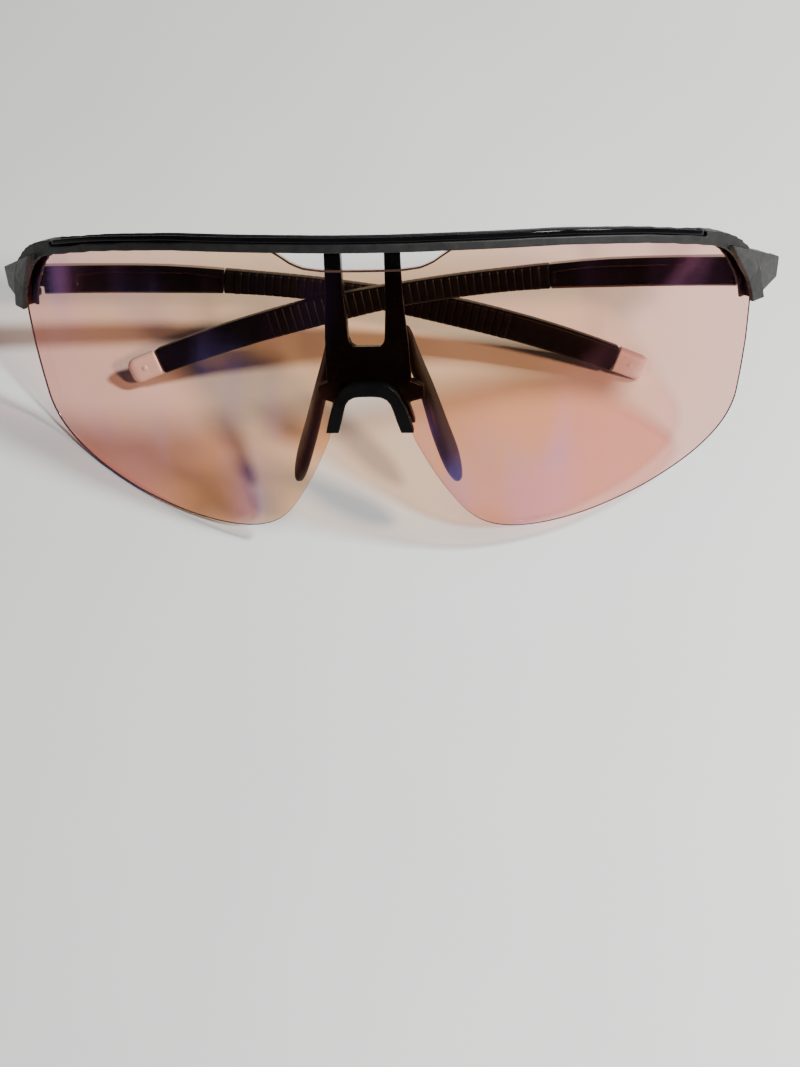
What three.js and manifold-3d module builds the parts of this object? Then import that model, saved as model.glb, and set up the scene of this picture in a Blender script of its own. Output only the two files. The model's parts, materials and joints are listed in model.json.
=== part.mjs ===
// Wraparound sport sunglasses: one curved shield lens under a half-rim brow, a clip-in
// nose bridge with two soft pads, and two hinged temples, folded and lying on a table.
//
// Lens frame: x to the left-to-right side, y from the lens apex towards the wearer, z up the
// lens. The wearing frame is the same frame pitched by PANTOSCOPIC_TILT, with z along the hinge
// screws. "right" is +x and "left" is -x. Lengths are millimetres and angles are degrees.
import * as THREE from 'three';
import { mergeVertices } from 'three/addons/utils/BufferGeometryUtils.js';
import { ConvexGeometry } from 'three/addons/geometries/ConvexGeometry.js';
import Module from 'manifold-3d';

const wasm = await Module();
wasm.setup();

// ---------------------------------------------------------------- driving dimensions
const LENS_RADIUS_ACROSS = 94;
const LENS_RADIUS_UP = 187;
const LENS_THICKNESS = 1.4;
const PANTOSCOPIC_TILT = 12;
const GAP = 0.3;

const RIM_FRONT = 1.9;
const RIM_BACK = 1.6;
const BROW_HEIGHT = 2.5;
const INLAY_HEIGHT = 0.8;
const INLAY_BACK = 0.6;
const INLAY_PROUD = 0.15;
const INLAY_GAP = 0.2;
const INLAY_HALF_LENGTH = 56;

const HINGE_AXIS = new THREE.Vector3(67.4, 30.5, 13.4);
const HINGE_HALF_HEIGHT = 2.65;
const KNUCKLE_RADIUS = 2.2;
const TONGUE_HALF_HEIGHT = 1.1;
const SCREW_RADIUS = 0.6;
const BUSH_INNER_RADIUS = 0.85;
const BUSH_OUTER_RADIUS = 1.35;
const TONGUE_BORE_RADIUS = 1.6;

const TEMPLE_LENGTH = 118;
const TEMPLE_START = 2.8;
const TEMPLE_DROP = 21.0;
const TEMPLE_DROP_POWER = 2.35;
const TEMPLE_BOW = 5;
const TEMPLE_OFFSET = 1.0;
const GRIP_START = 37;
const TIP_START = 112.2;
const RIB_FIRST = 38.6;
const RIB_LAST = 91;
const RIB_PITCH = 1.5;
const GRIP_OUT = 1.6;
const GRIP_RIB = 1.75;
const GRIP_VALLEY = 1.55;
const CORE_START = 31.5;
const CORE_END = 115.4;
const CORE_HALF_THICKNESS = 0.5;
const CORE_HALF_HEIGHT = 1.1;

const FOLD_RIGHT = 85.2;
const FOLD_LEFT = 80.2;
// Play in the folded hinges: the inner temple rides up and the outer one sags.
const HINGE_PLAY = 0.7;

const REST_PITCH = 38.8;
const REST_ROLL = 4.05;

// ---------------------------------------------------------------- looks
const material = (color, roughness, metalness = 0, extra = {}) =>
  new THREE.MeshStandardMaterial({ color, roughness, metalness, ...extra });

const matteFrame = material(0x2c2b2a, 0.62);
const glossBlack = material(0x08080a, 0.12);
const glossArm = material(0x121214, 0.3);
const lensTint = material(0xd9a58c, 0.05, 0, { transparent: true, opacity: 0.35 });
const blackRubber = material(0x101012, 0.8);
const paleTip = material(0xd8d2cf, 0.55);
const steel = material(0x9a9da0, 0.35, 1);

// ---------------------------------------------------------------- solids and booleans
function signedVolume(geometry) {
  const at = geometry.attributes.position;
  const order = geometry.index;
  const [a, b, c] = [new THREE.Vector3(), new THREE.Vector3(), new THREE.Vector3()];
  let sum = 0;
  for (let i = 0; i < order.count; i += 3) {
    a.fromBufferAttribute(at, order.getX(i));
    b.fromBufferAttribute(at, order.getX(i + 1));
    c.fromBufferAttribute(at, order.getX(i + 2));
    sum += a.dot(b.cross(c)) / 6;
  }
  return sum;
}

function turnInsideOut(geometry) {
  const order = geometry.index.array;
  for (let i = 0; i < order.length; i += 3) {
    [order[i], order[i + 1]] = [order[i + 1], order[i]];
  }
  return geometry;
}

// One closed, welded geometry with its faces pointing out.
function closed(geometry) {
  const bare = geometry.clone();
  bare.deleteAttribute('normal');
  bare.deleteAttribute('uv');
  const welded = mergeVertices(bare, 1e-4);
  return signedVolume(welded) < 0 ? turnInsideOut(welded) : welded;
}

function solid(geometry) {
  const welded = closed(geometry);
  return new wasm.Manifold(new wasm.Mesh({
    numProp: 3,
    vertProperties: new Float32Array(welded.attributes.position.array),
    triVerts: new Uint32Array(welded.index.array),
  }));
}

function geometryOf(manifold) {
  const { vertProperties, triVerts } = manifold.getMesh();
  const geometry = new THREE.BufferGeometry();
  geometry.setAttribute('position', new THREE.BufferAttribute(vertProperties, 3));
  geometry.setIndex(new THREE.BufferAttribute(triVerts, 1));
  return geometry;
}

const joined = (first, ...others) => others.reduce((sum, other) => sum.add(other), first);
const cut = (first, ...others) => others.reduce((rest, other) => rest.subtract(other), first);
const mirrored = (geometry) => turnInsideOut(closed(geometry).scale(-1, 1, 1));
const radians = THREE.MathUtils.degToRad;

function named(name, geometry, look) {
  const mesh = new THREE.Mesh(closed(geometry), look);
  mesh.geometry.computeVertexNormals();
  mesh.name = name;
  return mesh;
}

function box(sizes, centre) {
  return new THREE.BoxGeometry(...sizes).translate(...centre);
}

// An upright cylinder or disc between two heights, on the vertical line through (x, y).
function upright(radius, low, high, x = 0, y = 0, sides = 20) {
  return new THREE.CylinderGeometry(radius, radius, high - low, sides)
    .rotateX(Math.PI / 2)
    .translate(x, y, (low + high) / 2);
}

// ---------------------------------------------------------------- the lens surface
const SHELL_HALF_WIDTH = 70;
const SHELL_LOW = -33;
const SHELL_HIGH = 30;
const SHELL_COLUMNS = 28;
const SHELL_ROWS = 6;
const CUTTER_FRONT = -60;
const CUTTER_BACK = 40;

// The point at a depth behind (or, if negative, in front of) the lens's middle surface.
function onShell(x, z, depth) {
  const slopeX = x / Math.sqrt(LENS_RADIUS_ACROSS ** 2 - x ** 2);
  const slopeZ = z / LENS_RADIUS_UP;
  const back = new THREE.Vector3(-slopeX, 1, -slopeZ).normalize();
  const y = LENS_RADIUS_ACROSS - Math.sqrt(LENS_RADIUS_ACROSS ** 2 - x ** 2)
    + z ** 2 / (2 * LENS_RADIUS_UP);
  return new THREE.Vector3(x, y, z).addScaledVector(back, depth);
}

function remap(geometry, place) {
  const at = geometry.attributes.position;
  for (let i = 0; i < at.count; i += 1) {
    const p = place(at.getX(i), at.getY(i), at.getZ(i));
    at.setXYZ(i, p.x, p.y, p.z);
  }
  return geometry;
}

function shellSlab(front, back) {
  const slab = new THREE.BoxGeometry(
    2 * SHELL_HALF_WIDTH, 1, SHELL_HIGH - SHELL_LOW, SHELL_COLUMNS, 1, SHELL_ROWS);
  const middle = (SHELL_HIGH + SHELL_LOW) / 2;
  return solid(remap(slab, (x, y, z) =>
    onShell(x, z + middle, THREE.MathUtils.lerp(front, back, y + 0.5))));
}

// A prism through the shell whose walls follow the surface's normals.
function shellCutter(shape) {
  const prism = new THREE.ExtrudeGeometry(shape, { depth: 1, bevelEnabled: false, curveSegments: 6 });
  return solid(remap(prism, (x, y, z) =>
    onShell(x, y, THREE.MathUtils.lerp(CUTTER_FRONT, CUTTER_BACK, z))));
}

const panel = (shape, front, back) => shellSlab(front, back).intersect(shellCutter(shape));

// A symmetric closed outline from the points of its right half, listed from top to bottom centre.
function symmetricShape(half) {
  const right = half.map(([x, z]) => new THREE.Vector2(x, z));
  const left = half.filter(([x]) => x > 0).reverse().map(([x, z]) => new THREE.Vector2(-x, z));
  return new THREE.Shape([...right, ...left]);
}

function smoothRun(points, count) {
  const curve = new THREE.SplineCurve(points.map(([x, z]) => new THREE.Vector2(x, z)));
  return curve.getPoints(count).map((p) => [p.x, p.y]);
}

// ---------------------------------------------------------------- outlines on the shell
// The lower edge of the brow, from the middle out to the bottom of the side arm.
const BROW_LOWER = smoothRun([[0, 25.1], [14.4, 24.9], [29.3, 24.0], [37, 23.0], [46.6, 21.1],
  [55.8, 18.2], [59.6, 16.3], [62, 13.6], [63.9, 9.9], [65.1, 6.4], [65.5, 4.2]], 22);
// Its upper and outer edge, parallel above it and then down the outside of the side arm.
const BROW_UPPER = smoothRun([...[[0, 25.1], [14.4, 24.9], [29.3, 24.0], [37, 23.0], [46.6, 21.1],
  [55.8, 18.2]].map(([x, z]) => [x, z + BROW_HEIGHT]),
[60.4, 18.7], [63.5, 15.9], [66.4, 11.0], [67.8, 4.0]], 24);

function lensOutline(grow) {
  const top = smoothRun([[17 + grow, 25.3 + grow], [29.5, 24.6 + grow], [37.3, 23.5 + grow],
    [46.8, 21.7 + grow], [56.2 + grow / 2, 18.8 + grow], [61 + grow, 16.6 + grow / 2],
    [64.2 + grow, 12.6 + grow / 2], [65.9 + grow, 7.5], [66.1 + grow, 3]], 14);
  const side = smoothRun([[65.9 + grow, -3.4], [65.2 + grow, -10.7], [64.3 + grow, -16],
    [61.6 + grow, -20.2 - grow], [56.4, -23.8 - grow], [48.8, -26.9 - grow], [42.8, -28.6 - grow],
    [36.6, -29.9 - grow], [30.5, -30.5 - grow], [25.6, -30.4 - grow], [21.5, -29.5 - grow],
    [18.2 - grow, -27.7 - grow], [15.5 - grow, -24.8], [12.4 - grow, -19.8],
    [9.6 - grow, -14.3], [7.1 - grow, -8.5]], 30);
  const nose = smoothRun([[7.1 - grow, -8.5], [6.1 - grow, -4.6], [5.0 - grow, -0.8 - grow / 2],
    [3.2 - grow / 2, 1.0 - grow], [0, 1.4 - grow]], 8);
  const vent = [[0, 21.9 + grow], [6.6, 21.9 + grow], [9.6, 22.2 + grow], [11.6, 22.9 + grow],
    [13.6, 24.2 + grow], [15.2, 25.1 + grow]];
  return symmetricShape([...vent, ...top, ...side, ...nose.slice(1)]);
}

function lensSolid(grow) {
  const half = LENS_THICKNESS / 2 + grow;
  return panel(lensOutline(grow), -half, half);
}

const browOutline = () => symmetricShape([...BROW_UPPER, ...BROW_LOWER.slice().reverse()]);

// The gloss strip let into the brow's upper front corner, with rounded ends.
function inlayOutline(low, high, end, roundness = 1) {
  const browAt = (x) => {
    const next = BROW_LOWER.findIndex(([px]) => px > x);
    const [x0, z0] = BROW_LOWER[next - 1];
    const [x1, z1] = BROW_LOWER[next];
    return z0 + (z1 - z0) * (x - x0) / (x1 - x0);
  };
  const stops = [0, 14, 28, 40, 49, end - (roundness ? 1.2 : 0.001)];
  const upper = stops.map((x) => [x, browAt(x) + high]);
  const lower = stops.map((x) => [x, browAt(x) + low]).reverse();
  const nose = [0.8, 0.5, 0.2].map((share) =>
    [end - roundness * Math.abs(share - 0.5), browAt(end) + THREE.MathUtils.lerp(low, high, share)]);
  return symmetricShape([...upper, ...nose, ...lower]);
}

function inlaySolid() {
  const outline = inlayOutline(BROW_HEIGHT - INLAY_HEIGHT, BROW_HEIGHT + INLAY_PROUD, INLAY_HALF_LENGTH);
  return panel(outline, -RIM_FRONT - INLAY_PROUD, INLAY_BACK);
}

// The rebate that the gloss strip sits in, open to the front and the top.
function inlayRebate() {
  const low = BROW_HEIGHT - INLAY_HEIGHT - INLAY_GAP;
  const end = INLAY_HALF_LENGTH + INLAY_GAP;
  return panel(inlayOutline(low, BROW_HEIGHT + 2, end, 0), -RIM_FRONT - 2, INLAY_BACK + INLAY_GAP);
}

// ---------------------------------------------------------------- nose bridge
const POST_TOP = 26.2;
const WINDOW_FLOOR = 8.0;
const WINDOW_ROOF = 40;
const BRIDGE_FRONT = LENS_THICKNESS / 2 + GAP + 0.05;
const POST_BACK = 3.1;
const PLATE_BACK = 5.0;
const LIP_FRONT = -2.1;
const SADDLE_BACK = 3.2;
// The tapered stub that each pad's neck plugs into: its four corners at the plate, then outside.
const STUB = [
  [5.2, 2.4, -3.8], [5.2, 4.4, -3.8], [5.2, 2.4, 1.6], [5.2, 4.4, 1.6],
  [9.2, 3.1, -2.9], [9.2, 4.5, -2.9], [9.2, 3.1, -0.6], [9.2, 4.5, -0.6],
];

function postsOutline(grow) {
  const outer = symmetricShape([[0, POST_TOP + grow], [6.4 + grow, POST_TOP + grow],
    [6.5 + grow, 18], [7.2 + grow, WINDOW_FLOOR], [7.4 + grow, 1.5], [0, 1.5]]);
  const hole = new THREE.Path([[3.8 - grow, WINDOW_ROOF], [3.6 - grow, 18],
    [3.1 - grow, WINDOW_FLOOR + 1], [2.3 - grow, WINDOW_FLOOR + grow],
    [-2.3 + grow, WINDOW_FLOOR + grow], [-3.1 + grow, WINDOW_FLOOR + 1],
    [-3.6 + grow, 18], [-3.8 + grow, WINDOW_ROOF]].map(([x, z]) => new THREE.Vector2(x, z)));
  return { outer, hole: new THREE.Shape(hole.getPoints()) };
}

function postsSolid(grow) {
  const { outer, hole } = postsOutline(grow);
  const sheet = panel(outer, BRIDGE_FRONT - grow, POST_BACK + grow);
  return sheet.subtract(shellCutter(hole));
}

function prismAlongY(shape, front, back) {
  return new THREE.ExtrudeGeometry(shape, { depth: back - front, bevelEnabled: false, curveSegments: 8 })
    .rotateX(Math.PI / 2)
    .translate(0, back, 0);
}

function saddleShape() {
  const outer = smoothRun([[0, 2.6], [2.7, 2.4], [4.7, 1.2], [6.3, -2.2], [7.2, -5.2], [7.6, -6.9]], 10);
  const inner = smoothRun([[5.4, -6.9], [4.7, -4.6], [3.8, -1.4], [2.4, -0.1], [0, 0.1]], 8);
  return symmetricShape([...outer, ...inner]);
}

function bridgeSolid() {
  const plate = panel(symmetricShape([[0, WINDOW_FLOOR], [2.3, WINDOW_FLOOR], [3.1, WINDOW_FLOOR + 0.6],
    [7.1, WINDOW_FLOOR + 0.6], [7.3, 1], [5.4, 0.4], [0, 0.4]]), BRIDGE_FRONT, PLATE_BACK);
  const saddle = solid(prismAlongY(saddleShape(), LIP_FRONT, SADDLE_BACK));
  const stub = new ConvexGeometry(STUB.map((p) => new THREE.Vector3(...p)));
  return cut(joined(postsSolid(0), plate, saddle, solid(stub), solid(mirrored(stub))), lensSolid(GAP));
}

// ---------------------------------------------------------------- nose pads
const PAD_HALF_THICKNESS = 1.1;
const PAD_FRONT_EDGE = new THREE.CatmullRomCurve3([[6.3, 6.0, 6.6], [7.3, 5.6, 1.4], [8.9, 5.5, -4.4],
  [10.6, 3.8, -10.6], [12.5, 3.3, -16.6], [14.2, 4.4, -21]].map((p) => new THREE.Vector3(...p)));
const PAD_BACK_EDGE = new THREE.CatmullRomCurve3([[6.2, 7.4, 10.2], [7.5, 8.4, 4.4], [9.8, 9.0, -2.6],
  [12.0, 8.8, -9.6], [14.1, 8.0, -16], [14.9, 6.4, -20.6]].map((p) => new THREE.Vector3(...p)));

// A point of the right pad: along it from top to tip, across it from front edge to back edge.
function onPad(along, across, lift) {
  const front = PAD_FRONT_EDGE.getPoint(along);
  const back = PAD_BACK_EDGE.getPoint(along);
  const run = PAD_FRONT_EDGE.getTangent(along);
  const out = run.cross(back.clone().sub(front)).normalize();
  return front.lerp(back, across).addScaledVector(out, lift);
}

function padSheet([along0, along1], [across0, across1], halfThickness, edgeShare = 1) {
  const sheet = new THREE.BoxGeometry(1, 1, 1, 3, 1, 9);
  return remap(sheet, (x, y, z) => {
    const across = THREE.MathUtils.lerp(across0, across1, x + 0.5);
    const thin = THREE.MathUtils.lerp(1, edgeShare, (2 * Math.abs(x)) ** 2);
    return onPad(THREE.MathUtils.lerp(along0, along1, z + 0.5), across, 2 * y * halfThickness * thin);
  });
}

function padCore(grow) {
  const spine = padSheet([0.25 - grow / 30, 0.79 + grow / 30],
    [0.4 - grow / 5, 0.66 + grow / 5], 0.3 + grow);
  const neck = padSheet([0.28 - grow / 30, 0.36 + grow / 30], [-0.28, 0.5], 0.3 + grow);
  return joined(solid(spine), solid(neck));
}

// ---------------------------------------------------------------- end pieces and hinge ears
// The flared corner of the brow, in the wearing frame, as its outer corners.
const END_PIECE = [
  [61.9, 15.2, 21.2], [60.4, 20.3, 20.8],
  [66.8, 22.4, 16.2], [67.7, 25.6, 10.0],
  [71.9, 30.6, 16.2], [71.7, 31.2, 12.4],
  [71.6, 32.2, 15.8], [71.3, 32.2, 12.8],
  [66.0, 27.0, 10.6], [69.6, 31.2, 10.9],
  [64.6, 27.6, 17.4], [69.4, 31.6, 17.0],
];
const POCKET_BACK = 8;
const POCKET_INNER = -14;
const POCKET_OUTER = 2.7;
const POCKET_RADIUS = KNUCKLE_RADIUS + 0.4;
const EAR_REACH = 4.0;
const EAR_OUTER = 0.2;
const EAR_GAP = 0.3;

function toLensFrame(geometry) {
  return geometry.rotateX(-radians(PANTOSCOPIC_TILT));
}

const EAR_LOW = TONGUE_HALF_HEIGHT + EAR_GAP;

function earsAt(x, y, z) {
  return [[EAR_LOW, HINGE_HALF_HEIGHT], [-HINGE_HALF_HEIGHT, -EAR_LOW]].map(([low, high]) => {
    const disc = upright(KNUCKLE_RADIUS, low + z, high + z, x, y);
    const block = box([KNUCKLE_RADIUS + EAR_OUTER, EAR_REACH, high - low],
      [x + (EAR_OUTER - KNUCKLE_RADIUS) / 2, y - EAR_REACH / 2, (low + high) / 2 + z]);
    return joined(solid(toLensFrame(disc)), solid(toLensFrame(block)));
  });
}

function endPiece() {
  const { x, y, z } = HINGE_AXIS;
  const corner = new ConvexGeometry(END_PIECE.map((p) => new THREE.Vector3(...p)));
  const round = upright(POCKET_RADIUS, z - 15, z + 15, x, y, 28);
  const inward = box([-POCKET_INNER, POCKET_BACK + POCKET_RADIUS, 30],
    [x + POCKET_INNER / 2, y + (POCKET_BACK - POCKET_RADIUS) / 2, z]);
  const behind = box([POCKET_OUTER + 1, POCKET_BACK, 30],
    [x + (POCKET_OUTER - 1) / 2, y + POCKET_BACK / 2, z]);
  const bore = upright(SCREW_RADIUS + 0.25, z - 4, z + 4, x, y);
  const body = cut(solid(toLensFrame(corner)),
    ...[round, inward, behind].map((space) => solid(toLensFrame(space))));
  return cut(joined(body, ...earsAt(x, y, z)), solid(toLensFrame(bore)));
}

function browSolid() {
  const rim = panel(browOutline(), -RIM_FRONT, RIM_BACK);
  const corner = geometryOf(endPiece());
  const whole = joined(rim, solid(corner), solid(mirrored(corner)));
  return cut(whole, lensSolid(GAP), inlayRebate(), postsSolid(GAP));
}

// ---------------------------------------------------------------- temples
// The temple's centre line when open: back along y, bowed inwards and dropping behind the ear.
function templeAt(s) {
  const share = Math.max(s, 0) / TEMPLE_LENGTH;
  const drop = TEMPLE_DROP * share ** TEMPLE_DROP_POWER;
  return new THREE.Vector3(TEMPLE_OFFSET - TEMPLE_BOW * share ** 2, s, -drop);
}

// A solid swept along the temple. Each station is its place s along the temple, its reach to
// the outer and the inner side, its half height and its corner chamfer.
const SECTION_SIDES = 8;

function sweptAlongTemple(stations) {
  const tube = new THREE.CylinderGeometry(1, 1, 1, SECTION_SIDES, stations.length - 1);
  return remap(tube, (x, y, z) => {
    const { s, out, inn, half, chamfer } = stations[Math.round((0.5 - y) * (stations.length - 1))];
    const ahead = templeAt(s + 0.5).sub(templeAt(s - 0.5)).normalize();
    const up = new THREE.Vector3(0, -ahead.z, ahead.y).normalize();
    const aside = ahead.clone().cross(up);
    const centre = templeAt(s);
    if (Math.hypot(x, z) < 0.5) return centre.addScaledVector(aside, (out - inn) / 2);
    const turn = Math.round(Math.atan2(z, x) / (2 * Math.PI) * SECTION_SIDES + SECTION_SIDES) % SECTION_SIDES;
    const corner = Math.floor(turn / 2);
    const isLateral = (turn % 2 === 0) === (corner % 2 === 0);
    const signX = corner === 0 || corner === 3 ? 1 : -1;
    const signZ = corner < 2 ? 1 : -1;
    const reach = (signX > 0 ? out : inn) - (isLateral ? 0 : chamfer);
    const height = half - (isLateral ? chamfer : 0);
    return centre.addScaledVector(aside, signX * reach).addScaledVector(up, signZ * height);
  });
}

// Half height along the temple: full at the hinge, slim at the grip's start, full again behind.
function halfHeight(s) {
  const { lerp, smoothstep } = THREE.MathUtils;
  const slim = smoothstep(s, 22, 46) * (1 - smoothstep(s, 60, 84));
  const tail = smoothstep(s, 96, TEMPLE_LENGTH);
  return lerp(lerp(HINGE_HALF_HEIGHT, 2.1, slim), 2.45, tail);
}

const armStations = [TEMPLE_START, 5, 9, 14, 20, 26, 31, 35, GRIP_START - GAP].map((s) => ({
  s,
  out: 1.6 + 0.8 * (1 - THREE.MathUtils.smoothstep(s, 3, 16)),
  inn: 1.3 + 0.3 * THREE.MathUtils.smoothstep(s, 3, 16),
  half: halfHeight(s),
  chamfer: 0.45,
}));

const channelStations = [9, 13, 18, 24, 30, 36].map((s, i, all) => ({
  s,
  out: -1.1,
  inn: 2.2,
  half: i === 0 || i === all.length - 1 ? 0.9 : 1.35,
  chamfer: 0.1,
}));

function coreStations(start, end, grow) {
  const count = 14;
  return Array.from({ length: count + 1 }, (_, i) => ({
    s: THREE.MathUtils.lerp(start, end, i / count),
    out: CORE_HALF_THICKNESS + grow,
    inn: CORE_HALF_THICKNESS + grow,
    half: CORE_HALF_HEIGHT + grow,
    chamfer: 0.15,
  }));
}

function gripStations() {
  const station = (s, inn) => ({
    s, out: GRIP_OUT, inn, half: halfHeight(s) + (inn === GRIP_RIB ? 0.05 : 0), chamfer: 0.6,
  });
  const stations = [station(GRIP_START, GRIP_VALLEY)];
  for (let s = RIB_FIRST; s < RIB_LAST; s += RIB_PITCH) {
    stations.push(station(s, GRIP_VALLEY), station(s + 0.2, GRIP_RIB),
      station(s + RIB_PITCH - 0.5, GRIP_RIB), station(s + RIB_PITCH - 0.3, GRIP_VALLEY));
  }
  for (const s of [94, 99, 104, 108, TIP_START - GAP]) stations.push(station(s, GRIP_OUT));
  return stations;
}

const tipStations = [[0, 1.6, 0.6], [0.6, 1.6, 0.65], [0.86, 1.5, 0.7], [0.95, 1.25, 0.7],
  [1, 0.9, 0.5]].map(([share, reach, chamfer]) => {
  const s = THREE.MathUtils.lerp(TIP_START, TEMPLE_LENGTH, share);
  return { s, out: reach, inn: reach, half: halfHeight(s) - (1.6 - reach) * 0.9, chamfer };
});

function templeArm() {
  const tongue = joined(
    solid(upright(KNUCKLE_RADIUS, -TONGUE_HALF_HEIGHT, TONGUE_HALF_HEIGHT)),
    solid(box([KNUCKLE_RADIUS + 0.3, TEMPLE_START + 0.6, 2 * TONGUE_HALF_HEIGHT],
      [(KNUCKLE_RADIUS - 0.3) / 2, (TEMPLE_START + 0.6) / 2, 0])));
  const arm = joined(solid(sweptAlongTemple(armStations)), tongue);
  return geometryOf(cut(arm,
    solid(upright(TONGUE_BORE_RADIUS, -5, 5)),
    solid(sweptAlongTemple(channelStations)),
    solid(sweptAlongTemple(coreStations(CORE_START - GAP, GRIP_START + 2, GAP)))));
}

function templeCore() {
  return sweptAlongTemple(coreStations(CORE_START, CORE_END, 0));
}

function templeGrip() {
  const hole = sweptAlongTemple(coreStations(CORE_START, CORE_END, GAP));
  return geometryOf(cut(solid(sweptAlongTemple(gripStations())), solid(hole)));
}

function templeTip() {
  const pocket = sweptAlongTemple(coreStations(CORE_START, CORE_END + GAP, GAP));
  return geometryOf(cut(solid(sweptAlongTemple(tipStations)), solid(pocket)));
}

// ---------------------------------------------------------------- hinge hardware
function hingeScrew() {
  const shaft = upright(SCREW_RADIUS, -HINGE_HALF_HEIGHT - 0.2, HINGE_HALF_HEIGHT + 0.4);
  const head = upright(1.25, HINGE_HALF_HEIGHT + GAP, HINGE_HALF_HEIGHT + 0.95);
  const slot = box([3, 0.35, 0.4], [0, 0, HINGE_HALF_HEIGHT + 0.95]);
  return geometryOf(cut(joined(solid(shaft), solid(head)), solid(slot)));
}

function hingeBush() {
  const height = TONGUE_HALF_HEIGHT - 0.05;
  return geometryOf(cut(solid(upright(BUSH_OUTER_RADIUS, -height, height)),
    solid(upright(BUSH_INNER_RADIUS, -3, 3))));
}

// ---------------------------------------------------------------- assembly
const glasses = new THREE.Group();
const wearing = new THREE.Group();
const front = new THREE.Group();
front.rotation.x = radians(PANTOSCOPIC_TILT);
wearing.add(front);
glasses.add(wearing);

front.add(
  named('lens', geometryOf(lensSolid(0)), lensTint),
  named('brow_frame', geometryOf(browSolid()), matteFrame),
  named('brow_inlay', geometryOf(inlaySolid()), glossBlack),
);

const SIDES = { left: -1, right: 1 };
const sided = (geometry, side) => (side > 0 ? geometry : mirrored(geometry));

const padNeckHole = geometryOf(padCore(GAP));
front.add(named('nose_bridge',
  geometryOf(cut(bridgeSolid(), solid(padNeckHole), solid(mirrored(padNeckHole)))), glossBlack));

for (const [word, side] of Object.entries(SIDES)) {
  const pad = cut(solid(padSheet([0, 1], [0, 1], PAD_HALF_THICKNESS, 0.55)), solid(padNeckHole));
  front.add(
    named(`nose_pad_${word}`, sided(geometryOf(pad), side), blackRubber),
    named(`nose_pad_core_${word}`, sided(geometryOf(padCore(0)), side), steel),
  );

  const hinge = new THREE.Group();
  hinge.position.set(side * HINGE_AXIS.x, HINGE_AXIS.y, HINGE_AXIS.z);
  hinge.add(named(`hinge_screw_${word}`, sided(hingeScrew(), side), steel));

  const temple = new THREE.Group();
  temple.rotation.set(0, radians(HINGE_PLAY), side * radians(side > 0 ? FOLD_RIGHT : FOLD_LEFT), 'YXZ');
  temple.add(
    named(`hinge_bush_${word}`, sided(hingeBush(), side), steel),
    named(`temple_arm_${word}`, sided(templeArm(), side), glossArm),
    named(`temple_core_${word}`, sided(templeCore(), side), steel),
    named(`temple_grip_${word}`, sided(templeGrip(), side), blackRubber),
    named(`temple_tip_${word}`, sided(templeTip(), side), paleTip),
  );
  hinge.add(temple);
  wearing.add(hinge);
}

// Leaned back until the lens and the folded temples rest on the table, origin below the middle.
wearing.rotation.set(-radians(REST_PITCH), -radians(REST_ROLL), 0, 'YXZ');
glasses.updateMatrixWorld(true);
const extent = new THREE.Box3().setFromObject(glasses, true);
const middle = extent.getCenter(new THREE.Vector3());
wearing.position.set(-middle.x, -middle.y, -extent.min.z);
glasses.updateMatrixWorld(true);

export default glasses;
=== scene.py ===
"""Wraparound sport sunglasses, folded, lying on a pale table.

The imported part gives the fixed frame. The lens, gloss strip, nose pads, grips and tips are
built again here as finer pieces on the same curves. The brow, bridge and temple arms are taken
from the part with softened edges, and the top of the brow and the floor of the bridge's window
are made to fall to the back. "right" is +x and "left" is -x. The curves are written in
millimetres and placed in the row frame in metres.
"""

import json
from contextlib import contextmanager
from math import cos, exp, pi, radians, sin, sqrt

import bmesh
import bpy
from mathutils import Matrix, Quaternion, Vector


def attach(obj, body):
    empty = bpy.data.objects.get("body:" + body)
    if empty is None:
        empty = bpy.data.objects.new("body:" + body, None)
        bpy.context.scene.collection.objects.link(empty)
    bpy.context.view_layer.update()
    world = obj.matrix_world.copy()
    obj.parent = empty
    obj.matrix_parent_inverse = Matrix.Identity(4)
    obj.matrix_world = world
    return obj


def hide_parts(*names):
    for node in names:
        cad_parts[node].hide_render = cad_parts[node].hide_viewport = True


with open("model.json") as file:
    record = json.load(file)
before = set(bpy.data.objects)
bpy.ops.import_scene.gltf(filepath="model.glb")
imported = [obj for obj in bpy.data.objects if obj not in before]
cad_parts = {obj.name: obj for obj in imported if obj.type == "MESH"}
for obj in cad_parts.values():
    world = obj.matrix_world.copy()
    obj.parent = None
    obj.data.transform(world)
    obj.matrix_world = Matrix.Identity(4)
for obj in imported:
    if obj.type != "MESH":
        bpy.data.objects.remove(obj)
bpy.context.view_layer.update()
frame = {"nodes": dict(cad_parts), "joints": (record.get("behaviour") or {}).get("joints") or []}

MM = 0.001
# vertices closer than this, in metres, are merged
WELD = 1e-7
WELD_OF_PART = 1e-6

# ---------------------------------------------------------------- dimensions
LENS_RADIUS_ACROSS = 94
LENS_RADIUS_UP = 187
LENS_THICKNESS = 1.4
LENS_BEVEL = 0.22
LENS_RIM_LINE = 0.3
PANTOSCOPIC_TILT = 12
REST_PITCH = 38.8
REST_ROLL = 4.05
HINGE_AXIS = Vector((67.4, 30.5, 13.4))
HINGE_PLAY = 0.7
FOLD = {"left": 80.2, "right": 85.2}
SIDES = {"left": -1, "right": 1}

RIM_FRONT = 1.9
BROW_HEIGHT = 2.5
INLAY_HEIGHT = 0.8
INLAY_BACK = 0.6
INLAY_PROUD = 0.15
INLAY_HALF_LENGTH = 56
INLAY_FALL = 0.72
INLAY_CORNER = 0.28
INLAY_END = 0.9

# the brow's top is what lies this high above its lower curve; behind the gloss strip it falls to
# the back by this slope, which fades out between the two ends
BROW_TOP_HEIGHT = 1.6
BROW_TOP_SLOPE = 0.42
BROW_TOP_ENDS = (50, 57)
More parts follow.
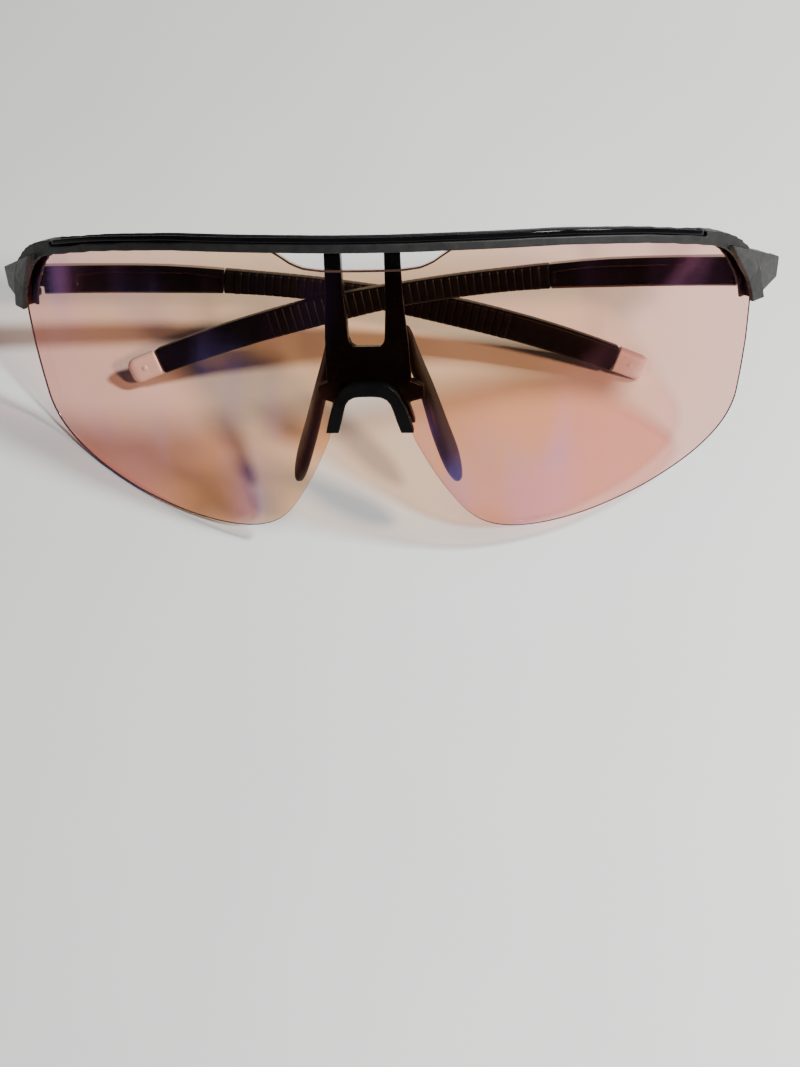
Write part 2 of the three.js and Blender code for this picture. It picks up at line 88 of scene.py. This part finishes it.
# the window's floor falls by this slope from the front depth, and what lies beyond the back depth
# is moved
WINDOW_FLOOR = 8.1
WINDOW_FLOOR_BAND = 0.6
WINDOW_FLOOR_SLOPE = 0.36
WINDOW_FLOOR_FRONT = 1.1
WINDOW_FLOOR_BACK = 1.6

PAD_HALF_THICKNESS = 1.05
PAD_BLUNTNESS = 7

TEMPLE_LENGTH = 118
TEMPLE_DROP = 21.0
TEMPLE_DROP_POWER = 2.35
TEMPLE_BOW = 5
TEMPLE_OFFSET = 1.0
HALF_HEIGHT_FRONT = 2.65
HALF_HEIGHT_SLIM = 2.1
HALF_HEIGHT_TIP = 2.45
SLIM_FROM = (22, 46)
SLIM_UNTIL = (60, 84)
TIP_SWELLS_FROM = 96

GRIP_START = 37
GRIP_END = 111.9
GRIP_OVERLAP = 0.22
GRIP_OUTER = 1.6
GRIP_INNER_NEAR = 1.55
GRIP_INNER_FAR = 1.6
GRIP_CORNER = 0.6
GRIP_LIP = 0.25
GRIP_LIP_LENGTH = 0.3
RIB_FIRST = 38.6
RIB_LAST = 91.1
RIB_PITCH = 1.5
RIB_INNER = 1.74
RIB_EDGE = 0.03
GROOVE_DEPTH = 0.14
GROOVE_EDGE_DEPTH = 0.05
GROOVE_HALF_WIDTH = 0.13

TIP_START = 112.2
TIP_HALF_WIDTH = 1.56
TIP_CORNER = 1.15
TIP_ROUNDING = 1.9
TIP_BLUNTNESS = 2.4
TIP_SHORT_BY = 0.02
TIP_LIP = 0.2
TIP_LIP_LENGTH = 0.25
# the dot on the tip: its place as a share of the tip's length, then the radius of each ring and
# its height over the middle of the temple
DOT_PLACE = 0.47
DOT_RINGS = ((0.55, 1.5), (0.5, 1.62), (0.34, 1.66), (0.12, 1.67))

BROW_LOWER = [(0, 25.1), (14.4, 24.9), (29.3, 24.0), (37, 23.0), (46.6, 21.1),
              (55.8, 18.2), (59.6, 16.3), (62, 13.6), (63.9, 9.9), (65.1, 6.4), (65.5, 4.2)]
LENS_VENT = [(0, 21.9), (6.6, 21.9), (9.6, 22.2), (11.6, 22.9), (13.6, 24.2), (15.2, 25.1)]
LENS_TOP = [(17, 25.3), (29.5, 24.6), (37.3, 23.5), (46.8, 21.7), (56.2, 18.8), (61, 16.6),
            (64.2, 12.6), (65.9, 7.5), (66.1, 3)]
LENS_SIDE = [(65.9, -3.4), (65.2, -10.7), (64.3, -16), (61.6, -20.2), (56.4, -23.8),
             (48.8, -26.9), (42.8, -28.6), (36.6, -29.9), (30.5, -30.5), (25.6, -30.4),
             (21.5, -29.5), (18.2, -27.7), (15.5, -24.8), (12.4, -19.8), (9.6, -14.3), (7.1, -8.5)]
LENS_NOSE = [(7.1, -8.5), (6.1, -4.6), (5.0, -0.8), (3.2, 1.0), (0, 1.4)]
PAD_FRONT_EDGE = [(6.3, 6.0, 6.6), (7.3, 5.6, 1.4), (8.9, 5.5, -4.4), (10.6, 3.8, -10.6),
                  (12.5, 3.3, -16.6), (14.2, 4.4, -21)]
PAD_BACK_EDGE = [(6.2, 7.4, 10.2), (7.5, 8.4, 4.4), (9.8, 9.0, -2.6), (12.0, 8.8, -9.6),
                 (14.1, 8.0, -16), (14.9, 6.4, -20.6)]

# ---------------------------------------------------------------- light and camera
WALL_LIGHT = 0.10
CEILING_LIGHT = 0.05
EVEN_LIGHT = 0.02
CAMERA_LENS = 54.05
CAMERA_AT = (14.5, -171.7, 258.8)
CAMERA_TARGET = (5.5, -30.9, 15.0)
CAMERA_ROLL = -0.98


# ---------------------------------------------------------------- frames
def turn(degrees, axis):
    return Matrix.Rotation(radians(degrees), 4, axis)


# WEARING goes from the frame of the glasses as worn to the row frame. FRONT goes there from the
# front's own frame, which is tilted: x is to the right, y is behind the lens and z is up.
hinge_at = {j["name"]: Vector(j["pos_m"]) for j in frame["joints"]}["temple_right_fold"] / MM
rest_turn = turn(-REST_ROLL, "Y") @ turn(-REST_PITCH, "X")
WEARING = Matrix.Translation(hinge_at - rest_turn @ HINGE_AXIS) @ rest_turn
FRONT = WEARING @ turn(PANTOSCOPIC_TILT, "X")


def temple_frame(side):
    """From a temple's own frame: x is outward, y runs from the screw to the tip and z is up."""
    hinge = Matrix.Translation((SIDES[side] * HINGE_AXIS.x, HINGE_AXIS.y, HINGE_AXIS.z))
    fold = turn(HINGE_PLAY, "Y") @ turn(SIDES[side] * FOLD[side], "Z")
    return WEARING @ hinge @ fold @ Matrix.Diagonal((SIDES[side], 1, 1, 1))


# ---------------------------------------------------------------- curves
def spline(points, steps):
    """A smooth curve through the points, each span in that many steps."""
    points = [Vector(p) for p in points]
    last = len(points) - 1
    run = []
    for i in range(last):
        before, a, b, after = points[max(i - 1, 0)], points[i], points[i + 1], points[min(i + 2, last)]
        leave, arrive = (b - before) / 2, (after - a) / 2
        for k in range(steps):
            t = k / steps
            run.append((2 * a - 2 * b + leave + arrive) * t ** 3
                       + (3 * b - 3 * a - 2 * leave - arrive) * t ** 2 + leave * t + a)
    return [*run, points[-1]]


def height_on(run, x):
    """The height of a left-to-right run of points at x."""
    for a, b in zip(run, run[1:]):
        if a[0] <= x <= b[0] and b[0] > a[0]:
            return a[1] + (b[1] - a[1]) * (x - a[0]) / (b[0] - a[0])
    return run[-1][1] if x > run[-1][0] else run[0][1]


def mix(a, b, share):
    return a + (b - a) * share


def smoothstep(x, low, high):
    share = min(max((x - low) / (high - low), 0), 1)
    return share * share * (3 - 2 * share)


def on_shell(x, z, depth):
    """A point behind (or, if negative, in front of) the lens's middle surface."""
    across = sqrt(LENS_RADIUS_ACROSS ** 2 - x ** 2)
    back = Vector((-x / across, 1, -z / LENS_RADIUS_UP)).normalized()
    return Vector((x, LENS_RADIUS_ACROSS - across + z ** 2 / (2 * LENS_RADIUS_UP), z)) + depth * back


def depth_behind_lens(point):
    """How far a point of the front's own frame lies behind the lens's middle surface."""
    middle = on_shell(point.x, point.z, 0)
    return (point - middle).dot(on_shell(point.x, point.z, 1) - middle)


BROW_CURVE = spline(BROW_LOWER, 6)


# ---------------------------------------------------------------- meshes
@contextmanager
def edited(mesh):
    """A mesh opened for editing, and written back when the edit is done."""
    work = bmesh.new()
    work.from_mesh(mesh)
    yield work
    work.to_mesh(mesh)
    work.free()


def piece_of(name, points, faces, place, looks, body, node):
    """One smooth closed piece that stands in for a node of the part."""
    mesh = bpy.data.meshes.new(name)
    mesh.from_pydata([place @ Vector(p) * MM for p in points], [], faces)
    return finished(name, mesh, looks, body, node)


def finished(name, mesh, looks, body, node):
    """The mesh as a smooth piece, in the looks it wears, tied to its body, with the node it stands in for
    hidden.
    """
    with edited(mesh) as work:
        bmesh.ops.remove_doubles(work, verts=work.verts, dist=WELD)
        bmesh.ops.recalc_face_normals(work, faces=work.faces)
        for face in work.faces:
            face.smooth = True
    for look in looks:
        mesh.materials.append(look)
    piece = bpy.data.objects.new(name, mesh)
    bpy.context.scene.collection.objects.link(piece)
    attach(piece, body)
    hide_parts(node)
    return piece


def rounded(half_a, half_b, radius, per_corner=5):
    """A rounded rectangle about (0, 0), as points in order."""
    radius = min(radius, half_a, half_b)
    ring = []
    for quarter, (a, b) in enumerate(((1, 1), (-1, 1), (-1, -1), (1, -1))):
        for k in range(per_corner + 1):
            angle = pi / 2 * (quarter + k / per_corner)
            ring.append((a * (half_a - radius) + radius * cos(angle),
                         b * (half_b - radius) + radius * sin(angle)))
    return ring


def lofted(rings):
    """Points and faces of a closed solid through rings of the same number of points."""
    count = len(rings[0])
    points = [p for ring in rings for p in ring]
    faces = []
    for i in range(len(rings) - 1):
        for k in range(count):
            n = (k + 1) % count
            faces.append((i * count + k, i * count + n, (i + 1) * count + n, (i + 1) * count + k))
    for start, ring in ((0, rings[0]), ((len(rings) - 1) * count, rings[-1])):
        points.append(sum((Vector(p) for p in ring), Vector()) / count)
        hub = len(points) - 1
        faces += [(start + k, start + (k + 1) % count, hub) for k in range(count)]
    return points, faces


def drafted_brow(point):
    """The brow's top falls away to the back, behind the gloss strip."""
    depth = depth_behind_lens(point)
    height = point.z - height_on(BROW_CURVE, abs(point.x))
    if height > BROW_TOP_HEIGHT and depth > INLAY_BACK:
        share = 1 - smoothstep(abs(point.x), *BROW_TOP_ENDS)
        point.z -= BROW_TOP_SLOPE * (depth - INLAY_BACK) * share
    return point


def drafted_bridge(point):
    """The floor of the bridge's window falls away to the back."""
    depth = depth_behind_lens(point)
    if abs(point.z - WINDOW_FLOOR) < WINDOW_FLOOR_BAND and depth > WINDOW_FLOOR_BACK:
        point.z -= WINDOW_FLOOR_SLOPE * (depth - WINDOW_FLOOR_FRONT)
    return point


def softened(node, look, body, voxel, passes, drafted=None):
    """A node of the part with its edges rounded off, and with its vertices first moved by drafted."""
    source = frame["nodes"][node].data
    mesh = bpy.data.meshes.new(node + "_soft")
    points = [v.co.copy() for v in source.vertices]
    if drafted:
        points = [FRONT @ drafted(FRONT.inverted() @ (p / MM)) * MM for p in points]
    mesh.from_pydata(points, [], [tuple(p.vertices) for p in source.polygons])
    with edited(mesh) as work:
        bmesh.ops.remove_doubles(work, verts=work.verts, dist=WELD_OF_PART)
    rough = bpy.data.objects.new(node + "_rough", mesh)
    bpy.context.scene.collection.objects.link(rough)
    grid = rough.modifiers.new("grid", "REMESH")
    grid.mode = "VOXEL"
    grid.voxel_size = voxel * MM
    round_off = rough.modifiers.new("round", "SMOOTH")
    round_off.factor = 0.5
    round_off.iterations = passes
    soft = bpy.data.meshes.new_from_object(rough.evaluated_get(bpy.context.evaluated_depsgraph_get()))
    bpy.data.objects.remove(rough)
    return finished(node + "_piece", soft, [look], body, node)


# ---------------------------------------------------------------- materials
class Nodes:
    """A node tree, built a node at a time."""

    def __init__(self, tree):
        self.tree = tree

    def add(self, kind, **settings):
        node = self.tree.nodes.new(kind)
        for key, value in settings.items():
            setattr(node, key, value)
        return node

    def link(self, source, target):
        self.tree.links.new(source, target)

    def split(self, vector):
        """The outputs X, Y and Z of a vector."""
        parts = self.add("ShaderNodeSeparateXYZ")
        self.link(vector, parts.inputs["Vector"])
        return parts.outputs

    def maths(self, operation, *values, clamp=False):
        """A calculation whose values are numbers or the outputs of other nodes."""
        node = self.add("ShaderNodeMath", operation=operation, use_clamp=clamp)
        for socket, value in zip(node.inputs, values):
            if isinstance(value, (int, float)):
                socket.default_value = value
            else:
                self.link(value, socket)
        return node.outputs["Value"]


class Look(Nodes):
    """A procedural material on the object's own coordinates."""

    def __init__(self, name):
        self.material = bpy.data.materials.new(name)
        self.material.use_nodes = True
        super().__init__(self.material.node_tree)
        self.surface = self.tree.nodes["Principled BSDF"]
        self.place = self.add("ShaderNodeTexCoord").outputs["Object"]

    def noise(self, grain, detail=3.0, stretch=(1, 1, 1)):
        """Noise from 0 to 1 whose lumps are about grain millimetres across."""
        spread = self.add("ShaderNodeMapping")
        spread.inputs["Scale"].default_value = stretch
        self.link(self.place, spread.inputs["Vector"])
        noise = self.add("ShaderNodeTexNoise")
        noise.inputs["Scale"].default_value = 1 / (grain * MM)
        noise.inputs["Detail"].default_value = detail
        self.link(spread.outputs["Vector"], noise.inputs["Vector"])
        return noise.outputs["Fac"]

    def ramp(self, value, stops):
        """The colour at a value from 0 to 1, blended between the stops."""
        ramp = self.add("ShaderNodeValToRGB")
        while len(ramp.color_ramp.elements) < len(stops):
            ramp.color_ramp.elements.new(0.5)
        for element, (at, colour) in zip(ramp.color_ramp.elements, stops):
            element.position = at
            element.color = (*colour, 1)
        self.link(value, ramp.inputs["Fac"])
        return ramp.outputs["Color"]

    def spanned(self, value, low, high):
        """Noise, which mostly lies between 0.3 and 0.7, spread over low to high."""
        span = self.add("ShaderNodeMapRange")
        span.inputs["From Min"].default_value = 0.3
        span.inputs["From Max"].default_value = 0.7
        span.inputs["To Min"].default_value = low
        span.inputs["To Max"].default_value = high
        self.link(value, span.inputs["Value"])
        return span.outputs["Result"]

    def bumped(self, value, depth):
        """Makes the surface look uneven by a depth in millimetres."""
        bump = self.add("ShaderNodeBump")
        bump.inputs["Strength"].default_value = 0.6
        bump.inputs["Distance"].default_value = depth * MM
        self.link(value, bump.inputs["Height"])
        self.link(bump.outputs["Normal"], self.surface.inputs["Normal"])

    def set(self, socket, value):
        self.surface.inputs[socket].default_value = value


def moulded(name, dark, light, grain, rough, bump, metal=0.0, specular=0.5):
    """A moulded or machined surface: two close tones, uneven gloss and a fine surface grain."""
    look = Look(name)
    tone = look.ramp(look.noise(grain * 8), [(0.3, dark), (0.7, light)])
    look.link(tone, look.surface.inputs["Base Color"])
    look.link(look.spanned(look.noise(grain * 3), *rough), look.surface.inputs["Roughness"])
    look.bumped(look.noise(grain, 4.0), bump)
    look.set("Metallic", metal)
    look.set("Specular IOR Level", specular)
    return look.material


def coated_lens():
    """Clear peach plastic under a thin coating that reflects violet and blue, more in some places."""
    look = Look("lens coating")
    # the plastic's tint turns from peach in the middle to pink at both ends
    from_middle = look.maths("ABSOLUTE", look.split(look.place)["X"])
    uneven = look.spanned(look.noise(22, 1.0), -0.12, 0.22)
    tint = look.ramp(look.maths("MULTIPLY_ADD", from_middle, 1 / (90 * MM), uneven), [
        (0.28, (0.940, 0.765, 0.615)), (0.62, (0.955, 0.735, 0.670))])
    clear = look.add("ShaderNodeBsdfTransparent")
    look.link(tint, clear.inputs["Color"])
    # the coating reflects red, violet or blue
    film = look.ramp(look.noise(24, 1.0), [
        (0.30, (0.80, 0.30, 0.34)), (0.44, (0.62, 0.26, 0.72)),
        (0.54, (0.26, 0.24, 0.95)), (0.66, (0.60, 0.30, 0.75))])
    look.link(film, look.surface.inputs["Base Color"])
    look.set("Metallic", 1.0)
    look.link(look.spanned(look.noise(9), 0.02, 0.05), look.surface.inputs["Roughness"])
    # it reflects more in its patches, and where it is seen at a slant
    slant = look.add("ShaderNodeLayerWeight")
    slant.inputs["Blend"].default_value = 0.5
    rise = look.maths("POWER", slant.outputs["Facing"], 6.0)
    patch = look.ramp(look.noise(17, 1.0, (1.6, 0.5, 0.5)), [
        (0.42, (0.006, 0.006, 0.006)), (0.54, (0.025, 0.025, 0.025)), (0.68, (0.12, 0.12, 0.12))])
    both = look.add("ShaderNodeMixShader")
    look.link(look.maths("MULTIPLY_ADD", rise, 0.6, patch), both.inputs["Fac"])
    look.link(clear.outputs["BSDF"], both.inputs[1])
    look.link(look.surface.outputs["BSDF"], both.inputs[2])
    look.link(both.outputs["Shader"], look.tree.nodes["Material Output"].inputs["Surface"])
    return look.material


LENS = coated_lens()
LENS_EDGE = moulded("lens edge", (0.030, 0.018, 0.014), (0.050, 0.030, 0.022),
                    grain=0.5, rough=(0.2, 0.3), bump=0.004, specular=0.2)
MATTE = moulded("matte frame", (0.010, 0.0098, 0.0095), (0.018, 0.0175, 0.017),
                grain=0.2, rough=(0.44, 0.56), bump=0.012, specular=0.3)
GLOSS = moulded("gloss strip", (0.002, 0.002, 0.0025), (0.004, 0.004, 0.005),
                grain=0.8, rough=(0.05, 0.10), bump=0.002, specular=0.1)
BRIDGE = moulded("bridge plastic", (0.002, 0.002, 0.002), (0.004, 0.004, 0.004),
                 grain=0.6, rough=(0.14, 0.26), bump=0.004, specular=0.1)
ARM = moulded("arm plastic", (0.002, 0.002, 0.0025), (0.005, 0.0045, 0.005),
              grain=0.6, rough=(0.10, 0.18), bump=0.004, specular=0.4)
GRIP = moulded("grip rubber", (0.0025, 0.0025, 0.003), (0.005, 0.005, 0.006),
               grain=0.18, rough=(0.34, 0.46), bump=0.01, specular=0.12)
PAD = moulded("pad rubber", (0.003, 0.003, 0.0035), (0.006, 0.006, 0.006),
              grain=0.8, rough=(0.28, 0.40), bump=0.0015, specular=0.2)
TIP = moulded("pale tip", (0.72, 0.71, 0.74), (0.82, 0.81, 0.84),
              grain=0.3, rough=(0.38, 0.5), bump=0.01)
STEEL = moulded("brushed steel", (0.42, 0.43, 0.44), (0.62, 0.62, 0.63),
                grain=0.25, rough=(0.25, 0.4), bump=0.004, metal=1.0)


# ---------------------------------------------------------------- lens
def build_lens():
    """Two bent sheets joined round the rim by four bands, of which the front two are dark."""
    steps = 5
    top = [*LENS_VENT[:-1], *spline([LENS_VENT[-1], *LENS_TOP], steps)]
    side_run = list(reversed(spline(LENS_SIDE, steps)))
    low_edge = [*reversed(spline(LENS_NOSE, steps)), *side_run[1:], LENS_TOP[-1]]
    widest = LENS_TOP[-1][0]
    columns, rows = 96, 40
    stops = [widest * sin(pi / 2 * k / columns) for k in range(-columns, columns + 1)]
    dark_bands = 2

    def sheet(depth, shrink):
        grid = []
        for x in stops:
            high = height_on(top, abs(x))
            low = height_on(low_edge, abs(x))
            trim = min(shrink, (high - low) / 2)
            across = x * (1 - shrink / widest)
            grid.append([on_shell(across, mix(low + trim, high - trim, j / rows), depth)
                         for j in range(rows + 1)])
        return grid

    half = LENS_THICKNESS / 2
    layers = [sheet(-half, LENS_BEVEL), sheet(-half + LENS_BEVEL, 0),
              sheet(-half + LENS_BEVEL + LENS_RIM_LINE, 0),
              sheet(half - LENS_BEVEL, 0), sheet(half, LENS_BEVEL)]
    width, height = len(stops), rows + 1
    points = [p for layer in layers for column in layer for p in column]

    def index(layer, i, j):
        return layer * width * height + i * height + j

    faces, kinds = [], []
    for layer in (0, len(layers) - 1):
        for i in range(width - 1):
            for j in range(rows):
                faces.append((index(layer, i, j), index(layer, i + 1, j),
                              index(layer, i + 1, j + 1), index(layer, i, j + 1)))
                kinds.append(0)
    rim = [(i, rows) for i in range(width)] + [(i, 0) for i in reversed(range(width))]
    for a, b in zip(rim, rim[1:] + rim[:1]):
        for layer in range(len(layers) - 1):
            faces.append((index(layer, *a), index(layer, *b),
                          index(layer + 1, *b), index(layer + 1, *a)))
            kinds.append(1 if layer < dark_bands else 0)
    mesh = bpy.data.meshes.new("lens_piece")
    mesh.from_pydata([FRONT @ p * MM for p in points], [], faces)
    for polygon, kind in zip(mesh.polygons, kinds):
        polygon.material_index = kind
    with edited(mesh) as work:
        loose = [v for v in work.verts if not v.link_faces]
        bmesh.ops.delete(work, geom=loose, context="VERTS")
        bmesh.ops.dissolve_degenerate(work, edges=work.edges, dist=WELD)
    return finished("lens_piece", mesh, [LENS, LENS_EDGE], "front", "lens")


# ---------------------------------------------------------------- gloss strip in the brow
def build_inlay():
    """The gloss strip, with round ends and a top that falls to its back."""
    count = 150
    smallest = 0.0004
    low, high = BROW_HEIGHT - INLAY_HEIGHT, BROW_HEIGHT + INLAY_PROUD
    front, back = -RIM_FRONT - INLAY_PROUD, INLAY_BACK
    half_height_of_strip = (high - low) / 2
    half_depth = (back - front) / 2
    rings = []
    for k in range(count + 1):
        x = INLAY_HALF_LENGTH * sin(pi / 2 * (2 * k / count - 1))
        left = (INLAY_HALF_LENGTH - abs(x)) / INLAY_END
        full = sqrt(max(1 - (1 - min(left, 1)) ** 2, smallest))
        base = height_on(BROW_CURVE, abs(x)) + (low + high) / 2
        ring = []
        for dz, dy in rounded(half_height_of_strip, half_depth, INLAY_CORNER):
            fall = INLAY_FALL * (dy / half_depth + 1) / 2 * max(dz / half_height_of_strip, 0)
            ring.append(on_shell(x, base + full * (dz - fall), (front + back) / 2 + full * dy))
        rings.append(ring)
    points, faces = lofted(rings)
    return piece_of("brow_inlay_piece", points, faces, FRONT, [GLOSS], "front", "brow_inlay")


# ---------------------------------------------------------------- nose pads
def signed_power(value, power):
    """The power of a value's size, with the value's sign."""
    return abs(value) ** power * (1 if value > 0 else -1)


def build_pad(side):
    """A soft pad between its front and back edges, rounded off at both ends."""
    steps = 10
    around = 32
    smallest = 0.02
    front_edge, back_edge = spline(PAD_FRONT_EDGE, steps), spline(PAD_BACK_EDGE, steps)
    last = len(front_edge) - 1
    rings = []
    for i in range(last + 1):
        share = i / last
        ahead = front_edge[min(i + 1, last)] - front_edge[max(i - 1, 0)]
        out = ahead.cross(back_edge[i] - front_edge[i]).normalized()
        full = max(1 - abs(2 * share - 1) ** PAD_BLUNTNESS, smallest) ** 0.4
        ring = []
        for k in range(around):
            angle = 2 * pi * k / around
            across = 0.5 + 0.5 * full * signed_power(cos(angle), 0.8)
            lift = PAD_HALF_THICKNESS * full * signed_power(sin(angle), 0.75)
            point = front_edge[i].lerp(back_edge[i], across) + out * lift
            ring.append(Vector((SIDES[side] * point.x, point.y, point.z)))
        rings.append(ring)
    points, faces = lofted(rings)
    node = f"nose_pad_{side}"
    pad = piece_of(f"{node}_piece", points, faces, FRONT, [PAD], "front", node)
    return pad


# ---------------------------------------------------------------- temples
def temple_at(s):
    """The middle of the temple at s millimetres from the hinge, in the temple's own frame."""
    share = max(s, 0) / TEMPLE_LENGTH
    return Vector((TEMPLE_OFFSET - TEMPLE_BOW * share ** 2, s, -TEMPLE_DROP * share ** TEMPLE_DROP_POWER))


def temple_axes(s):
    """The temple's directions at s: ahead along it, up, and aside to the outer face."""
    ahead = (temple_at(s + 0.5) - temple_at(s - 0.5)).normalized()
    up = Vector((0, -ahead.z, ahead.y)).normalized()
    return ahead, up, ahead.cross(up)


def half_height(s):
    slim = smoothstep(s, *SLIM_FROM) * (1 - smoothstep(s, *SLIM_UNTIL))
    rest = mix(HALF_HEIGHT_FRONT, HALF_HEIGHT_SLIM, slim)
    return mix(rest, HALF_HEIGHT_TIP, smoothstep(s, TIP_SWELLS_FROM, TEMPLE_LENGTH))


def section(s, outer, inner, half, radius):
    """The temple's rounded outline at s."""
    _, up, aside = temple_axes(s)
    centre = temple_at(s) + aside * (outer - inner) / 2
    return [centre + aside * a + up * b for a, b in rounded((outer + inner) / 2, half, radius, 6)]


def build_grip(side):
    """The grip, with its ribs on the inner face and lips at its ends."""
    rings = []
    count = 760
    start = GRIP_START - GRIP_OVERLAP
    for k in range(count + 1):
        s = mix(start, GRIP_END, k / count)
        lip = GRIP_LIP * (1 - min(min(s - start, GRIP_END - s) / GRIP_LIP_LENGTH, 1)) ** 2
        if RIB_FIRST <= s <= RIB_LAST:
            # the ribs are the stretches between smooth grooves, one pitch apart
            beat = (s - RIB_FIRST) / RIB_PITCH % 1
            away = min(beat, 1 - beat) * RIB_PITCH
            groove = exp(-((away / GROOVE_HALF_WIDTH) ** 2))
            inner = RIB_INNER - GROOVE_DEPTH * groove
            half = half_height(s) + RIB_EDGE - GROOVE_EDGE_DEPTH * groove
        else:
            inner = mix(GRIP_INNER_NEAR, GRIP_INNER_FAR, smoothstep(s, RIB_LAST, RIB_LAST + 1))
            half = half_height(s)
        rings.append(section(s, GRIP_OUTER - lip, inner - lip, half - lip, GRIP_CORNER))
    points, faces = lofted(rings)
    return piece_of(f"temple_grip_{side}_piece", points, faces, temple_frame(side), [GRIP],
                    f"temple_{side}", f"temple_grip_{side}")


def build_tip(side):
    """The tip, round at its end, with a small moulded dot on its inner face."""
    rings = []
    count = 44
    smallest = 0.002
    end_width, end_height = 0.45, 0.55
    for k in range(count + 1):
        s = mix(TIP_START, TEMPLE_LENGTH - TIP_SHORT_BY, sin(pi / 2 * k / count))
        lip = TIP_LIP * (1 - min((s - TIP_START) / TIP_LIP_LENGTH, 1)) ** 2
        over = max(s - (TEMPLE_LENGTH - TIP_ROUNDING), 0) / TIP_ROUNDING
        full = sqrt(max(1 - over ** TIP_BLUNTNESS, smallest))
        reach = (TIP_HALF_WIDTH - lip) * mix(end_width, 1, full)
        half = (half_height(s) - lip) * mix(end_height, 1, full)
        rings.append(section(s, reach, reach, half, TIP_CORNER))
    points, faces = lofted(rings)
    middle = mix(TIP_START, TEMPLE_LENGTH, DOT_PLACE)
    ahead, up, aside = temple_axes(middle)
    dot = []
    around = 20
    for radius, rise in DOT_RINGS:
        centre = temple_at(middle) - aside * rise
        angles = [2 * pi * k / around for k in range(around)]
        dot.append([centre + (ahead * cos(angle) + up * sin(angle)) * radius for angle in angles])
    dot_points, dot_faces = lofted(dot)
    faces += [tuple(i + len(points) for i in face) for face in dot_faces]
    points += dot_points
    return piece_of(f"temple_tip_{side}_piece", points, faces, temple_frame(side), [TIP],
                    f"temple_{side}", f"temple_tip_{side}")


# ---------------------------------------------------------------- build
build_lens()
build_inlay()
softened("brow_frame", MATTE, "front", voxel=0.1, passes=14, drafted=drafted_brow)
softened("nose_bridge", BRIDGE, "front", voxel=0.12, passes=8, drafted=drafted_bridge)
for side in SIDES:
    build_pad(side)
    build_grip(side)
    build_tip(side)
    softened(f"temple_arm_{side}", ARM, f"temple_{side}", voxel=0.12, passes=6)
    for inside in ("hinge_screw", "hinge_bush", "temple_core", "nose_pad_core"):
        kept = frame["nodes"][f"{inside}_{side}"]
        kept.data.materials.clear()
        kept.data.materials.append(STEEL)


# ---------------------------------------------------------------- table, light and camera
def build_table():
    """A flat pale table, which is stage and not part of the object."""
    mesh = bpy.data.meshes.new("table")
    reach = 1.2
    corners = [(-reach, -reach, 0), (reach, -reach, 0), (reach, reach, 0), (-reach, reach, 0)]
    mesh.from_pydata(corners, [], [(0, 1, 2, 3)])
    look = Look("pale table")
    look.link(look.ramp(look.noise(60, 2.0), [(0.3, (0.70, 0.71, 0.70)), (0.7, (0.74, 0.745, 0.735))]),
              look.surface.inputs["Base Color"])
    look.set("Roughness", 0.55)
    look.bumped(look.noise(1.5), 0.01)
    mesh.materials.append(look.material)
    table = bpy.data.objects.new("table", mesh)
    bpy.context.scene.collection.objects.link(table)


def area_light(name, at, size, power, colour):
    """A round light at a place in metres, aimed at the origin."""
    lamp = bpy.data.lights.new(name, "AREA")
    lamp.shape = "DISK"
    lamp.size = size
    lamp.energy = power
    lamp.color = colour
    holder = bpy.data.objects.new(name, lamp)
    holder.location = at
    holder.rotation_euler = (-Vector(at)).to_track_quat("-Z", "Y").to_euler()
    bpy.context.scene.collection.objects.link(holder)


def build_world():
    """Soft walls of light to both sides and above, with the room dimmer to the front and back."""
    world = bpy.data.worlds.new("room light")
    world.use_nodes = True
    sky = Nodes(world.node_tree)
    around = sky.split(sky.add("ShaderNodeTexCoord").outputs["Generated"])
    above = sky.maths("MULTIPLY_ADD", around["Z"], CEILING_LIGHT, EVEN_LIGHT, clamp=True)
    level = sky.maths("MULTIPLY_ADD", sky.maths("ABSOLUTE", around["X"]), WALL_LIGHT, above)
    background = sky.tree.nodes["Background"]
    background.inputs["Color"].default_value = (0.93, 0.96, 1.0, 1)
    sky.link(level, background.inputs["Strength"])
    bpy.context.scene.world = world


def build_camera():
    """A camera that looks down at the front from above it."""
    camera = bpy.data.cameras.new("camera")
    camera.lens = CAMERA_LENS
    camera.clip_start = 0.01
    viewer = bpy.data.objects.new("camera", camera)
    viewer.location = Vector(CAMERA_AT) * MM
    aim = (Vector(CAMERA_TARGET) * MM - viewer.location).to_track_quat("-Z", "Y")
    viewer.rotation_euler = (aim @ Quaternion((0, 0, 1), radians(CAMERA_ROLL))).to_euler()
    bpy.context.scene.collection.objects.link(viewer)
    bpy.context.scene.camera = viewer


build_table()
area_light("window", at=(0.38, 0.01, 0.47), size=0.085, power=5.0, colour=(1.0, 0.985, 0.96))
area_light("lamp", at=(0.33, -0.25, 0.45), size=0.07, power=3.9, colour=(0.99, 0.99, 1.0))
build_world()
build_camera()
